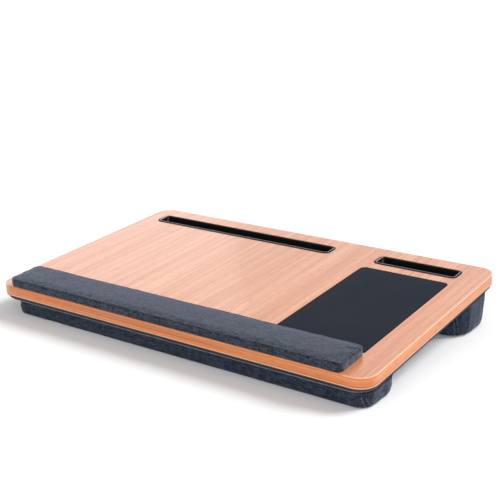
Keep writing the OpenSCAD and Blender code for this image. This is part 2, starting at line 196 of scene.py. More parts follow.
def wood_finish(name, tones, along, across, fineness, coat, arris=None, lower_shade=None):
    """Laminate with straight grain: along and across are the coordinates, in metres.

    fineness scales the grain's width, arris is the share of painted highlight at the edges and
    the last argument the share of painted shade, near black, along the band's lowest part.
    """
    made, tree, shader = material(name, Roughness=0.34, Coat_Weight=coat, Coat_Roughness=0.12)
    light, middle, dark = tones

    # Streaks from wide boards to fine pores, by their repeats to a metre
    def streaks(across_scale, along_scale, detail):
        vector = add(tree, "ShaderNodeCombineXYZ", {
            "X": calc(tree, "MULTIPLY", across(tree), across_scale * fineness),
            "Y": calc(tree, "MULTIPLY", along(tree), along_scale),
        }).outputs[0]
        return grain(tree, vector, detail)

    boards = spread(tree, streaks(26, 0.9, 2), 0.36, 0.64)
    bands = spread(tree, streaks(95, 1.6, 3), 0.38, 0.62, 0.0, 0.3)
    lines = spread(tree, streaks(330, 2.6, 3), 0.40, 0.66)
    fibres = spread(tree, streaks(950, 11, 3), 0.35, 0.65)
    pores = spread(tree, streaks(1500, 38, 2), 0.61, 0.68)
    flecks = spread(tree, streaks(420, 70, 3), 0.55, 0.68, 0.0, 0.42)
    tone = blend_colours(tree, boards, middle, light)
    tone = blend_colours(tree, bands, tone, dark)
    dark_lines = calc(tree, "MULTIPLY", calc(tree, "POWER", lines, 1.8), 0.62)
    tone = blend_colours(tree, dark_lines, tone, dark)
    tone = blend_colours(tree, flecks, tone, dark)
    tone = blend_colours(tree, calc(tree, "MULTIPLY", fibres, 0.14), tone, dark)
    tone = blend_colours(tree, calc(tree, "MULTIPLY", pores, 0.5), tone, dark)
    # Painted highlight: a pale wood tone along the arrises.
    if arris:
        tone = blend_colours(tree, arris(tree), tone, ARRIS_HIGHLIGHT_TONE)
    # Painted shade: the band's lowest part turns near black.
    if lower_shade:
        tone = blend_colours(tree, lower_shade(tree), tone, LOWER_EDGE_SHADE_TONE)
    relief = calc(tree, "SUBTRACT", calc(tree, "MULTIPLY", fibres, 0.3), pores)
    feed(tree, shader, Base_Color=tone,
         Roughness=spread(tree, lines, 0.0, 1.0, 0.31, 0.4),
         Normal=bump(tree, relief, 0.00002))
    return made


def axis(name):
    def take(tree):
        place = add(tree, "ShaderNodeTexCoord").outputs["Object"]
        return add(tree, "ShaderNodeSeparateXYZ", {"Vector": place}).outputs[name]
    return take


def around_the_edge(tree):
    """A length that grows along the front edge and on along the right one."""
    return calc(tree, "ADD", axis("X")(tree), axis("Y")(tree))


def band_height(tree):
    """Height on the tilted band, constant along its edges."""
    slope = calc(tree, "MULTIPLY", axis("Y")(tree), -math.tan(TILT))
    return calc(tree, "ADD", axis("Z")(tree), slope)


def band_depth(tree):
    """Distance down from the board's face."""
    top = FACE_H + MID_Y * math.tan(TILT)
    return calc(tree, "MULTIPLY", calc(tree, "SUBTRACT", top, band_height(tree)), math.cos(TILT))


def band_arris_highlight(tree):
    """Share of painted highlight: along the lower arris, and along the upper one beside the rest,
    left off where the rest shades it.
    """
    middle = BARE_WOOD_T / 2
    off_middle = calc(tree, "SUBTRACT", band_depth(tree), middle)
    share = spread(tree, calc(tree, "ABSOLUTE", off_middle), middle - 1.5 * MM, middle - 0.9 * MM,
                   0.0, 0.6)
    (left, _, _), (right, _, _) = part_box("wrist_rest_cover")
    off_rest = calc(tree, "ABSOLUTE", calc(tree, "SUBTRACT", axis("X")(tree), (left + right) / 2))
    beside = spread(tree, off_rest, (right - left) / 2 - 2 * MM, (right - left) / 2 + 4 * MM)
    lower = spread(tree, off_middle, 0.0, 1 * MM)
    return calc(tree, "MULTIPLY", share, calc(tree, "MAXIMUM", beside, lower))


def band_lower_shade(tree):
    """Share of painted shade, near black, over the lowest part of the band under its lower arris.
    """
    return spread(tree, band_depth(tree), BARE_WOOD_T - 0.2 * MM, BARE_WOOD_T + 0.2 * MM)


# Repeats to a metre of the cloth's heathered streaks, across and along a yarn
YARN_ACROSS = 640
YARN_ALONG = 120

# Share of the streaks that run along X, and the half range of their noise from dark to light
YARN_X_SHARE = 0.62
YARN_RANGE = 0.075

CLOTH_SHEEN_TINT = (0.74, 0.8, 1.0, 1.0)


def weave(tree, pitch):
    """Height of a plain weave on surfaces that face any way, from 0 to 1."""
    place = add(tree, "ShaderNodeTexCoord").outputs["Object"]
    x, y, z = add(tree, "ShaderNodeSeparateXYZ", {"Vector": place}).outputs
    normal = add(tree, "ShaderNodeNewGeometry").outputs["Normal"]
    nx, ny, nz = add(tree, "ShaderNodeSeparateXYZ", {"Vector": normal}).outputs
    turns = math.pi / pitch
    wave = [calc(tree, "SINE", calc(tree, "MULTIPLY", value, turns)) for value in (x, y, z)]
    height = None
    for share, first, second in ((nx, 1, 2), (ny, 0, 2), (nz, 0, 1)):
        part = calc(tree, "MULTIPLY", wave[first], wave[second])
        part = calc(tree, "MULTIPLY", part, calc(tree, "MULTIPLY", share, share))
        height = part if height is None else calc(tree, "ADD", height, part)
    return calc(tree, "MULTIPLY_ADD", height, 0.5, 0.5)


def yarns(tree):
    """Streaks along the two axes that lie in a surface, most of them along X where it does."""
    normal = add(tree, "ShaderNodeNewGeometry").outputs["Normal"]
    squares = [calc(tree, "MULTIPLY", part, part)
               for part in add(tree, "ShaderNodeSeparateXYZ", {"Vector": normal}).outputs]
    other_share = calc(tree, "MULTIPLY_ADD", squares[0], YARN_X_SHARE - 0.5, 1 - YARN_X_SHARE)
    total = 0.0
    for index, share in enumerate((YARN_X_SHARE, other_share, other_share)):
        scale = [YARN_ACROSS] * 3
        scale[index] = YARN_ALONG
        streak = grain(tree, stretched(tree, scale), 3, 0.65)
        shown = calc(tree, "MULTIPLY", calc(tree, "SUBTRACT", 1.0, squares[index]), share)
        total = calc(tree, "MULTIPLY_ADD", streak, shown, total)
    return total


def cloth_finish(name, dark, light, pitch=0.9 * MM, relief=0.00016, contrast=1.0, sheen=0.5):
    """Heathered woven cloth: light and dark yarns both ways over a plain weave."""
    made, tree, shader = material(name, Roughness=0.9, Specular_IOR_Level=0.2, Sheen_Weight=sheen,
                                  Sheen_Roughness=0.45, Sheen_Tint=CLOTH_SHEEN_TINT)
    clouds = even_grain(tree, 60, 3)
    half_range = YARN_RANGE / contrast
    yarn = spread(tree, yarns(tree), 0.5 - half_range, 0.5 + half_range)
    tone = blend_colours(tree, yarn, dark, light)
    cloud_share = spread(tree, clouds, 0.35, 0.7, 0.0, 0.18)
    tone = blend_colours(tree, cloud_share, tone, dark)
    threads = weave(tree, pitch)
    # Painted shade: the weave's hollows darken toward the dark yarn.
    tone = blend_colours(tree, spread(tree, threads, 0.0, 0.45, 0.45, 0.0), tone, dark)
    feed(tree, shader, Base_Color=tone, Normal=bump(tree, threads, relief))
    return made


def plastic_finish(name, colour, roughness, relief=0.00003):
    """Moulded plastic with a fine eroded texture."""
    made, tree, shader = material(name, Roughness=roughness)
    speckle = even_grain(tree, 1400, 2)
    blotch = even_grain(tree, 40, 3)
    tone = blend_colours(tree, spread(tree, blotch, 0.3, 0.7, 0.0, 0.25), colour,
                         toned(colour, 1.5, 0.004))
    feed(tree, shader, Base_Color=tone,
         Roughness=spread(tree, blotch, 0.3, 0.7, roughness - 0.05, roughness + 0.06),
         Normal=bump(tree, speckle, relief))
    return made


def along_board(tree):
    """Distance from the board's front edge, along its face."""
    return calc(tree, "MULTIPLY", calc(tree, "ADD", axis("Y")(tree), MID_Y), 1 / math.cos(TILT))


def inside_edge(tree, node, front, rear, radius):
    """Distance inward from the rounded outline that a node has on the board."""
    (left, _, _), (right, _, _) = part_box(node)
    beyond = []
    for place, low, high in ((axis("X")(tree), left, right), (along_board(tree), front, rear)):
        off_middle = calc(tree, "ABSOLUTE", calc(tree, "SUBTRACT", place, (low + high) / 2))
        beyond.append(calc(tree, "SUBTRACT", off_middle, (high - low) / 2 - radius))
    outer = [calc(tree, "MAXIMUM", part, 0.0) for part in beyond]
    round_part = calc(tree, "SQRT", calc(tree, "ADD", calc(tree, "MULTIPLY", outer[0], outer[0]),
                                         calc(tree, "MULTIPLY", outer[1], outer[1])))
    inside = calc(tree, "MINIMUM", calc(tree, "MAXIMUM", *beyond), 0.0)
    return calc(tree, "SUBTRACT", radius, calc(tree, "ADD", round_part, inside))


def slot_finish(colour, lip_highlight_tone):
    """Matt moulded plastic with a painted highlight: pale and less rough along the front lip and
    the ends of each slot.
    """
    made, tree, shader = material("slot_plastic", Specular_IOR_Level=0.14)
    inward = calc(tree, "MAXIMUM", *[inside_edge(tree, node, SLOT_FRONT, SLOT_REAR, SLOT_R)
                                     for node in ("phone_slot_liner", "tablet_slot_liner")])
    lip = calc(tree, "MULTIPLY", spread(tree, inward, FLANGE_W - 2.1 * MM, FLANGE_W - 1.5 * MM),
               spread(tree, inward, FLANGE_W - 0.2 * MM, FLANGE_W, 1.0, 0.0))
    # The painted highlight is left off the rear side of each mouth.
    rear = SLOT_REAR - FLANGE_W
    off_rear = spread(tree, along_board(tree), rear - 2 * MM, rear, 1.0, 0.0)
    lip = calc(tree, "MULTIPLY", lip, off_rear)
    blotch = even_grain(tree, 300, 3)
    lip_highlight_share = calc(tree, "MULTIPLY", lip, spread(tree, blotch, 0.25, 0.6, 0.55, 1.0))
    speckle = even_grain(tree, 1400, 2)
    feed(tree, shader, Base_Color=blend_colours(tree, lip_highlight_share, colour, lip_highlight_tone),
         Roughness=spread(tree, lip_highlight_share, 0.0, 1.0, 0.55, 0.25),
         Normal=bump(tree, speckle, 0.00002))
    return made


def pad_finish(colour):
    """Smooth mouse pad, with painted shade along its edge for the dark gap round it."""
    made, tree, shader = material("pad_face", Roughness=0.58, Specular_IOR_Level=0.08)
    from_edge = inside_edge(tree, "mouse_pad_face", PAD_FRONT, PAD_REAR, PAD_R)
    # Painted shade: a near-black line along the pad's edge, for the gap round it.
    border = spread(tree, from_edge, 0.6 * MM, 1.3 * MM, 1.0, 0.0)
    speckle = even_grain(tree, 2200, 2)
    blotch = grain(tree, stretched(tree, (22, 14, 22)), 3)
    tone = blend_colours(tree, spread(tree, blotch, 0.3, 0.7, 0.0, 0.5), colour,
                         toned(colour, 1.6, 0.004))
    tone = blend_colours(tree, border, tone, (0.003, 0.002, 0.002))
    feed(tree, shader, Base_Color=tone,
         Roughness=spread(tree, blotch, 0.3, 0.7, 0.52, 0.64),
         Normal=bump(tree, speckle, 0.00005))
    return made


def metal_finish(name, colour, roughness, metallic=1.0):
    """Plated or painted metal with fine scratches and slight wear."""
    made, tree, shader = material(name, Metallic=metallic, Roughness=roughness)
    scratches = grain(tree, stretched(tree, (300, 2600, 2600)), 3)
    worn = spread(tree, even_grain(tree, 500, 2), 0.58, 0.72, 0.0, 0.25)
    tone = blend_colours(tree, worn, colour, toned(colour, 1.0, 0.22))
    feed(tree, shader, Base_Color=tone,
         Roughness=spread(tree, scratches, 0.3, 0.7, roughness - 0.07, roughness + 0.1),
         Normal=bump(tree, scratches, 0.000012))
    return made


def fibreboard_finish(name, colour):
    """Pressed wood chips."""
    made, tree, shader = material(name, Roughness=0.85)
    chips = even_grain(tree, 900, 4)
    tone = blend_colours(tree, spread(tree, chips, 0.35, 0.65), colour, toned(colour, 0.6))
    feed(tree, shader, Base_Color=tone, Normal=bump(tree, chips, 0.0001))
    return made


finishes = {
    "wood_top": wood_finish("wood_top", TOP_TONES, axis("Y"), axis("X"), 1.0, 1.0),
    "wood_edge": wood_finish("wood_edge", BAND_TONES, around_the_edge, band_height, 1.3, 0.3,
                             band_arris_highlight, band_lower_shade),
    "core": fibreboard_finish("core", (0.42, 0.27, 0.14)),
    "bottom_laminate": fibreboard_finish("bottom_laminate", (0.32, 0.2, 0.1)),
    "pad_face": pad_finish((0.006, 0.009, 0.017)),
    "pad_backing": plastic_finish("pad_backing", (0.012, 0.012, 0.012), 0.8, 0.0001),
    # The slots' second tone is the painted highlight along their lips.
    "slot_plastic": slot_finish((0.004, 0.004, 0.005), (0.30, 0.30, 0.32)),
    "rest_base": plastic_finish("rest_base", (0.03, 0.03, 0.03), 0.6),
    "rest_cloth": cloth_finish("rest_cloth", (0.003, 0.006, 0.011), (0.053, 0.066, 0.092),
                               relief=0.0003, contrast=1.7),
    "cushion_cloth": cloth_finish("cushion_cloth", (0.007, 0.011, 0.021), (0.046, 0.062, 0.092),
                                  sheen=0.2),
    # The underside cloth is lighter than the cushions': partly its own lighter grey, partly
    # painted light for the lit strip under the board's edge.
    "base_cloth": cloth_finish("base_cloth", (0.09, 0.095, 0.13), (0.24, 0.25, 0.31)),
    "black_panel": plastic_finish("black_panel", (0.006, 0.006, 0.007), 0.55),
    "screw_steel": metal_finish("screw_steel", (0.5, 0.5, 0.5), 0.32),
    "stiffener": fibreboard_finish("stiffener", (0.16, 0.13, 0.1)),
    "foam": cloth_finish("foam", (0.5, 0.45, 0.3), (0.62, 0.57, 0.4)),
    "zip_tape": cloth_finish("zip_tape", (0.012, 0.016, 0.024), (0.03, 0.036, 0.05), 0.5 * MM),
    "zip_teeth": plastic_finish("zip_teeth", (0.02, 0.024, 0.032), 0.38),
    "zip_metal": metal_finish("zip_metal", (0.045, 0.047, 0.052), 0.34, 0.85),
    "thread": plastic_finish("thread", (0.15, 0.175, 0.22), 0.75, 0.00005),
}


def dress_cad_nodes():
    """Gives every CAD node the finish of its material slot."""
    for row in frame["record"]["subparts"]:
        piece = frame["nodes"][row["node"]]
        piece.data.materials.clear()
        piece.data.materials.append(finishes[row["material_slot"]])
        for face in piece.data.polygons:
            face.material_index = 0


# Mesh helpers

def new_piece(name, points, faces, slot, finish=None):
    mesh = bpy.data.meshes.new(name)
    mesh.from_pydata([tuple(point) for point in points], [], faces)
    mesh.validate()
    mesh.update()
    mesh.shade_smooth()
    piece = bpy.data.objects.new(name, mesh)
    bpy.context.scene.collection.objects.link(piece)
    mesh.materials.append(finishes[finish or slot])
    return piece


def spaced(stops):
    """Positions from (place, step) pairs: each stretch is cut into even steps up to its step."""
    places = [stops[0][0]]
    for (start, step), (end, _) in zip(stops, stops[1:]):
        count = max(1, math.ceil((end - start) / step - 1e-6))
        places += [start + (end - start) * i / count for i in range(1, count + 1)]
    return places


def smooth_step(value):
    value = min(1.0, max(0.0, value))
    return value * value * (3 - 2 * value)


def quarter_turn(steps):
    """Angles from 0 to a quarter turn, both included."""
    return [math.pi / 2 * i / steps for i in range(steps + 1)]


class Plan:
    """A rounded rectangle seen from above, cut into columns along X and rows along Y.

    Every column runs from the front to the back at one X. inset draws the outline in.
    """

    def __init__(self, half_w, half_d, radius, straight, arc_steps, rows):
        self.half_w, self.half_d, self.radius = half_w, half_d, radius
        quarter = quarter_turn(arc_steps)[1:]
        self.columns = [(-1, angle) for angle in reversed(quarter)]
        self.columns += [(place, None) for place in straight]
        self.columns += [(1, angle) for angle in quarter]
        self.rows = rows
        self.nx = len(self.columns) - 1
        self.ny = len(rows) - 1

    def place(self, i, j, inset):
        key, angle = self.columns[i]
        core_w, core_d = self.half_w - self.radius, self.half_d - self.radius
        reach = self.radius - inset
        if angle is None:
            x, deep = key * core_w, core_d + reach
        else:
            x = key * (core_w + reach * math.sin(angle))
            deep = core_d + reach * math.cos(angle)
        return x, deep * self.rows[j]

    def rim(self):
        """Column and row of each point round the outline, anticlockwise from front left."""
        front = [(i, 0) for i in range(self.nx + 1)]
        right = [(self.nx, j) for j in range(1, self.ny + 1)]
        back = [(i, self.ny) for i in range(self.nx - 1, -1, -1)]
        left = [(0, j) for j in range(self.ny - 1, 0, -1)]
        return front + right + back + left


def add_grid(plan, points, faces, inset, level, to_place, flip):
    """Adds the plan's grid at a level and returns the numbers of the points round its rim."""
    first = len(points)
    for i in range(plan.nx + 1):
        for j in range(plan.ny + 1):
            points.append(to_place(*plan.place(i, j, inset), level))
    for i in range(plan.nx):
        for j in range(plan.ny):
            corner = first + i * (plan.ny + 1) + j
            quad = (corner, corner + plan.ny + 1, corner + plan.ny + 2, corner + 1)
            faces.append(quad[::-1] if flip else quad)
    return [first + i * (plan.ny + 1) + j for i, j in plan.rim()]


def add_ring(plan, points, inset, level, to_place):
    """Adds the points of the plan's outline at a level and returns their numbers."""
    first = len(points)
    points.extend(to_place(*plan.place(i, j, inset), level) for i, j in plan.rim())
    return list(range(first, len(points)))


def join_rings(faces, lower, upper, flip=False):
    """Adds the wall of faces between two rings of points."""
    for k in range(len(lower)):
        after = (k + 1) % len(lower)
        quad = (lower[k], lower[after], upper[after], upper[k])
        faces.append(quad[::-1] if flip else quad)


def pillow(plan, levels, to_place):
    """Points and faces of a closed form: a bottom grid, a wall of rings and a top grid.

    levels lists (inset, level), and to_place turns (x, y, level) into a point.
    """
    points, faces = [], []
    ring = add_grid(plan, points, faces, *levels[0], to_place, flip=True)
    for inset, level in levels[1:-1]:
        above = add_ring(plan, points, inset, level, to_place)
        join_rings(faces, ring, above)
        ring = above
    lid = add_grid(plan, points, faces, *levels[-1], to_place, flip=False)
    join_rings(faces, ring, lid)
    return points, faces


# Cloth simulation

SWELL_FRAMES = 20


def evaluated_mesh(piece):
    """A new mesh of a piece with its modifiers applied."""
    depsgraph = bpy.context.evaluated_depsgraph_get()
    return bpy.data.meshes.new_from_object(piece.evaluated_get(depsgraph))


def even_form(points, faces, voxel):
    """An object with a closed form, remeshed into even squares."""
    mesh = bpy.data.meshes.new("form")
    mesh.from_pydata(points, [], faces)
    form = bpy.data.objects.new("form", mesh)
    bpy.context.scene.collection.objects.link(form)
    remesh = form.modifiers.new("remesh", "REMESH")
    remesh.mode = "VOXEL"
    remesh.voxel_size = voxel
    even = evaluated_mesh(form)
    form.modifiers.clear()
    form.data = even
    bpy.data.meshes.remove(mesh)
    return form


def add_cloth(form, pinned, pressure, loose):
    """Makes a form a cloth under pressure, held where pinned and larger by the share loose."""
    pin = form.vertex_groups.new(name="pin")
    held = [i for i, vertex in enumerate(form.data.vertices) if pinned(vertex.co)]
    pin.add(held, 1.0, "REPLACE")
    cloth = form.modifiers.new("cloth", "CLOTH")
    settings = cloth.settings
    settings.quality = 6
    settings.use_pressure = True
    settings.uniform_pressure_force = pressure
    settings.shrink_min = -loose
    settings.vertex_group_mass = "pin"
    settings.bending_stiffness = 0.6
    settings.effector_weights.gravity = 0.0
    cloth.collision_settings.use_self_collision = False


def puffed(points, faces, pinned, voxel, pressure, cap, loose):
    """Tree of a closed form's surface once it has swollen as cloth, by no more than cap."""
    scene = bpy.context.scene
    form = even_form([tuple(point) for point in points], faces, voxel)
    start = [vertex.co.copy() for vertex in form.data.vertices]
    add_cloth(form, pinned, pressure, loose)
    for frame_number in range(1, SWELL_FRAMES + 1):
        scene.frame_set(frame_number)
    depsgraph = bpy.context.evaluated_depsgraph_get()
    swollen = [vertex.co.copy() for vertex in form.evaluated_get(depsgraph).data.vertices]
    form.modifiers.clear()
    for vertex, before, after in zip(form.data.vertices, start, swollen):
        move = after - before
        if move.length > cap:
            move *= cap / move.length
        vertex.co = before + move
    scene.frame_set(1)
    finer = form.modifiers.new("finer", "SUBSURF")
    finer.levels = 1
    result = evaluated_mesh(form)
    tree = BVHTree.FromPolygons([vertex.co.copy() for vertex in result.vertices],
                                [tuple(face.vertices) for face in result.polygons])
    even = form.data
    bpy.data.objects.remove(form)
    for used in (even, result):
        bpy.data.meshes.remove(used)
    return tree


def surface_normals(points, faces):
    normals = [Vector() for _ in points]
    for face in faces:
        corners = [points[i] for i in face]
        turn = (corners[2] - corners[0]).cross(corners[3] - corners[1])
        for i in face:
            normals[i] += turn
    return [normal.normalized() for normal in normals]


def soft_noise(place, size, seed):
    return noise.noise(Vector((place.x / size + seed, place.y / size, place.z / size)))


# Stitches

STITCH_PITCH = 3.4 * MM
STITCH_L = 2.5 * MM
STITCH_T = 0.8 * MM
STITCH_SIDES = 6
STITCH_RINGS = 5


def walk(points, normals):
    """Length of a polyline, and a function for its place and normal at a distance."""
    lengths = [0.0]
    for a, b in zip(points, points[1:]):
        lengths.append(lengths[-1] + (b - a).length)

    def at(distance):
        k = 0
        while k < len(lengths) - 2 and lengths[k + 1] < distance:
            k += 1
        share = (distance - lengths[k]) / max(1e-9, lengths[k + 1] - lengths[k])
        place = points[k].lerp(points[k + 1], share)
        return place, normals[k].lerp(normals[k + 1], share).normalized()

    return lengths[-1], at


def stitch_points(at, start):
    """Points of one stitch, ring by ring: a small bent bar, thinner at its ends."""
    points = []
    for ring in range(STITCH_RINGS):
        along = ring / (STITCH_RINGS - 1)
        here, normal = at(start + along * STITCH_L)
        ahead, _ = at(start + along * STITCH_L + 0.1 * MM)
        aside = (ahead - here).normalized().cross(normal).normalized()
        arch = math.sin(math.pi * along)
        radius = STITCH_T / 2 * (0.55 + 0.45 * arch)
        centre = here + normal * STITCH_T * (0.45 * arch - 0.25)
        for side in range(STITCH_SIDES):
            angle = 2 * math.pi * side / STITCH_SIDES
            spoke = math.cos(angle) * aside + math.sin(angle) * normal
            points.append(centre + spoke * radius)
    return points


def stitch_faces(first):
    """Faces of one stitch whose points start at number first, with both ends closed."""
    faces = []
    for ring in range(STITCH_RINGS - 1):
        for side in range(STITCH_SIDES):
            a = first + ring * STITCH_SIDES + side
            b = first + ring * STITCH_SIDES + (side + 1) % STITCH_SIDES
            faces.append((a, b, b + STITCH_SIDES, a + STITCH_SIDES))
    last = first + (STITCH_RINGS - 1) * STITCH_SIDES
    faces.append(tuple(first + side for side in reversed(range(STITCH_SIDES))))
    faces.append(tuple(last + side for side in range(STITCH_SIDES)))
    return faces


def make_stitches(name, rows):
    """A row of thread stitches along each (points, normals) polyline."""
    points, faces = [], []
    for path, normals in rows:
        length, at = walk(path, normals)
        for number in range(int((length - STITCH_L) / STITCH_PITCH)):
            faces += stitch_faces(len(points))
            points += stitch_points(at, number * STITCH_PITCH)
    piece = new_piece(name, points, faces, "cushion_cloth", "thread")
    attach(piece, BODY)


# Cushions

# The slit for each zip, and the flat cloth beyond its ends over which the pull tab can lie
ZIP_L = 240 * MM
SLIT_HALF_L = ZIP_L / 2 + 3.5 * MM
SLIT_HALF_H = 4 * MM
PULL_REACH = 24 * MM
LIP_T = 1.2 * MM

# Groove of the end seams, how far they lean over their height, and the stitches beside them
SEAM_WIDTH = 1.2 * MM
SEAM_DEPTH = 1.5 * MM
SEAM_SLANT = 7 * MM
STITCH_OFFSETS = (-2.0 * MM, 2.0 * MM)

# How far from each end a tapered cushion leans
TAPER_REACH = 36 * MM


class Cushion:
    """One of the two cushions, with a zip along the face that looks under the desk.

    inner is 1 where that face is the rear one and -1 where it is the front one. taper draws
    the ends in toward the floor, and seam_in is the distance from an end to its seam.
    """

    def __init__(self, name, cover_box, teeth_box, corner, edge, inner, taper, seam_in):
        (left, front, _), (right, back, _) = cover_box
        low, high = teeth_box
        self.name, self.corner, self.edge = name, corner, edge
        self.inner, self.taper, self.seam_in = inner, taper, seam_in
        self.zip_z = (low[2] + high[2]) / 2
        self.mid = Vector(((left + right) / 2, (front + back) / 2, 0))
        self.half_w, self.half_d = (right - left) / 2, (back - front) / 2
        self.core_w, self.core_d = self.half_w - corner, self.half_d - corner
        self.level_top = self.top(front) - 0.9 * MM

    def top(self, y):
        return under_board(y, STACK_T + SOFT_GAP)

    def put(self, x, y, height):
        """A point at a height in metres or, from 1 to 2, at a share of the sloping part."""
        place = self.mid + Vector((x, y, 0))
        place.z = height
        if height > 1:
            place.z = self.level_top + (self.top(place.y) - self.level_top) * (height - 1)
        low = 1 - place.z / self.top(place.y)
        at_end = smooth_step((abs(x) - self.half_w + TAPER_REACH) / TAPER_REACH)
        place.x -= math.copysign(self.taper * low * low * at_end, x)
        return place

    def held(self, place):
        """Whether a place keeps still in the simulation: on the floor or just under the top."""
        rests = (place.z < 1.6 * MM and abs(place.x - self.mid.x) < self.half_w - 6 * MM
                 and abs(place.y - self.mid.y) < self.half_d - self.edge)
        return rests or place.z > self.top(place.y) - 4 * MM

    def on_zip_face(self, place):
        return abs(place.y - self.mid.y - self.inner * self.half_d) < 0.01 * MM

    def off_zip(self, place):
        """Distance from the flat cloth round the zip."""
        return max(abs(place.x - self.mid.x) - SLIT_HALF_L - PULL_REACH,
                   abs(place.z - self.zip_z) - SLIT_HALF_H - 1 * MM)

    def in_slit(self, place):
        return (self.on_zip_face(place) and abs(place.x - self.mid.x) < SLIT_HALF_L
                and abs(place.z - self.zip_z) < SLIT_HALF_H)

    def seam_place(self, share):
        """Distance of the end seams from the middle, at a share of the cushion's height."""
        return self.half_w - self.seam_in + SEAM_SLANT * (0.5 - share)


def cushion_columns(cushion):
    """Places along the straight part, from -1 to 1, closer together at the slit's ends."""
    slit = SLIT_HALF_L / cushion.core_w
    coarse = 4 * MM / cushion.core_w
    close = 1.2 * MM / cushion.core_w
    near = 6 * MM / cushion.core_w
    return spaced([
        (-1.0, coarse), (-slit - near, close), (-slit, close), (-slit + near, coarse),
        (slit - near, close), (slit, close), (slit + near, coarse), (1.0, coarse),
    ])


def cushion_levels(cushion, step):
    """(inset, height) of each ring: rounded lower edge, level wall, then the sloping part."""
    edge = cushion.edge
    levels = [(edge * (1 - math.sin(angle)), edge * (1 - math.cos(angle)))
              for angle in quarter_turn(8)]
    stops = (edge, cushion.zip_z - SLIT_HALF_H, cushion.zip_z + SLIT_HALF_H, cushion.level_top)
    levels += [(0.0, height) for height in spaced([(stop, step) for stop in stops])[1:]]
    sloping = max(1, round((cushion.top(cushion.mid.y) - cushion.level_top) / step))
    levels += [(0.0, 1 + (i + 1) / sloping) for i in range(sloping)]
    return levels


def swollen_points(cushion, straight, rows, levels, points):
    """Draws points toward a plainer form of the cushion that has swollen as cloth."""
    plan = Plan(cushion.half_w, cushion.half_d, cushion.corner, straight[::3] + [1.0], 8, rows)
    surface = puffed(*pillow(plan, levels, cushion.put), cushion.held,
                     voxel=4.6 * MM, pressure=8.0, cap=7 * MM, loose=0.01)
    drawn = []
    for point in points:
        hit = surface.find_nearest(point)[0]
        under_lid = smooth_step((cushion.top(point.y) - point.z) / (7 * MM))
        off_floor = 0.2 + 0.8 * smooth_step(point.z / (8 * MM))
        drawn.append(point.lerp(hit, under_lid * off_floor))
    return drawn


def sewn_move(cushion, origin, seed):
    """Outward move of a place on the cover: puckers, slack and end folds, less the seams."""
    ground = smooth_step(origin.z / (3 * MM))
    lid = smooth_step((cushion.top(origin.y) - origin.z) / (3 * MM))
    calm = 1.0
    if cushion.on_zip_face(origin):
        calm = smooth_step(cushion.off_zip(origin) / (10 * MM))
    aside = abs(origin.x - cushion.mid.x)
    gap = aside - cushion.seam_place(origin.z / cushion.top(origin.y))
    groove = math.exp(-(gap / SEAM_WIDTH) ** 2)
    pucker = math.exp(-abs(gap) / (7 * MM)) * (1 - groove)
    ripple = math.sin(origin.z / (1.35 * MM) + 2 * soft_noise(origin, 18 * MM, seed))
    slack = soft_noise(origin, 34 * MM, seed) + 0.5 * soft_noise(origin, 15 * MM, seed + 4)
    near_end = math.exp(-max(0.0, cushion.half_w - cushion.seam_in - aside) / (26 * MM))
    upright = Vector((origin.x * 3.2, origin.y * 3.2, origin.z * 0.6))
    folds = near_end * soft_noise(upright, 26 * MM, seed + 9)
    loose = (0.35 * pucker * ripple + 0.45 * slack + 1.1 * folds) * MM * ground * lid * calm
    return loose - SEAM_DEPTH * groove * lid * (0.4 + 0.6 * ground)


def with_lip(kept, cut, points, inward):
    """Turns the edge of the slit inward, as the cover's folded hem."""
    edges = dict.fromkeys((a, b) for face in cut for a, b in zip(face, face[1:] + face[:1]))
    border = [(a, b) for a, b in edges if (b, a) not in edges]
    points, kept = list(points), list(kept)
    above = {}
    for depth in (0.35, 1.0):
        layer = {}
        for a, b in border:
            for i in (a, b):
                if i not in layer:
                    layer[i] = len(points)
                    points.append(points[i] + inward * LIP_T * depth)
        for a, b in border:
            kept.append((above.get(a, a), above.get(b, b), layer[b], layer[a]))
        above = layer
    return kept, points


def make_cushion(cushion, arc_steps, seed):
    """Sewn cushion cover: swollen by simulation, then seamed, puckered and slit for its zip."""
    straight = cushion_columns(cushion)
    rows = [-1 + 2 * j / 14 for j in range(15)]
    plan = Plan(cushion.half_w, cushion.half_d, cushion.corner, straight, arc_steps, rows)
    levels = cushion_levels(cushion, 2.0 * MM)
    points, faces = pillow(plan, levels, cushion.put)
    drawn = points
    drawn = swollen_points(cushion, straight, rows, levels, points)

    shaped = []
    for point, target in zip(points, drawn):
        flat = 0.0
        if cushion.on_zip_face(point):
            flat = 1 - smooth_step(cushion.off_zip(point) / (9 * MM))
        shaped.append(target.lerp(point, flat))

    final = []
    for point, normal, origin in zip(shaped, surface_normals(shaped, faces), points):
        place = point + normal * sewn_move(cushion, origin, seed)
        place.z = min(max(place.z, 0.0), cushion.top(place.y))
        final.append(place)

    kept, cut = [], []
    for face in faces:
        centre = sum((points[i] for i in face), Vector()) / len(face)
        pile = cut if cushion.in_slit(centre) else kept
        pile.append(face)
    kept, final = with_lip(kept, cut, final, Vector((0, -cushion.inner, 0)))
    piece = new_piece(cushion.name, final, kept, "cushion_cloth")
    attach(piece, BODY)
    return piece


def traced(surface, places):
    """The nearest points of a surface to a row of places, and the normals there."""
    hits = [surface.find_nearest(place) for place in places]
    return [hit[0] for hit in hits], [hit[1] for hit in hits]


def seam_row(cushion, end, face, offset):
    """Places up an end seam, on its front or rear face, at an offset from the seam."""
    steps = 40
    places = []
    for step in range(steps + 1):
        share = 0.1 + 0.86 * step / steps
        aside = cushion.seam_place(share) + offset
        arc = max(0.0, aside - cushion.core_w)
        deep = cushion.core_d + math.sqrt(max(0.0, cushion.corner ** 2 - arc ** 2))
        place = cushion.mid + Vector((end * aside, face * deep, 0))
        place.z = share * cushion.top(place.y)
        places.append(place)
    return places


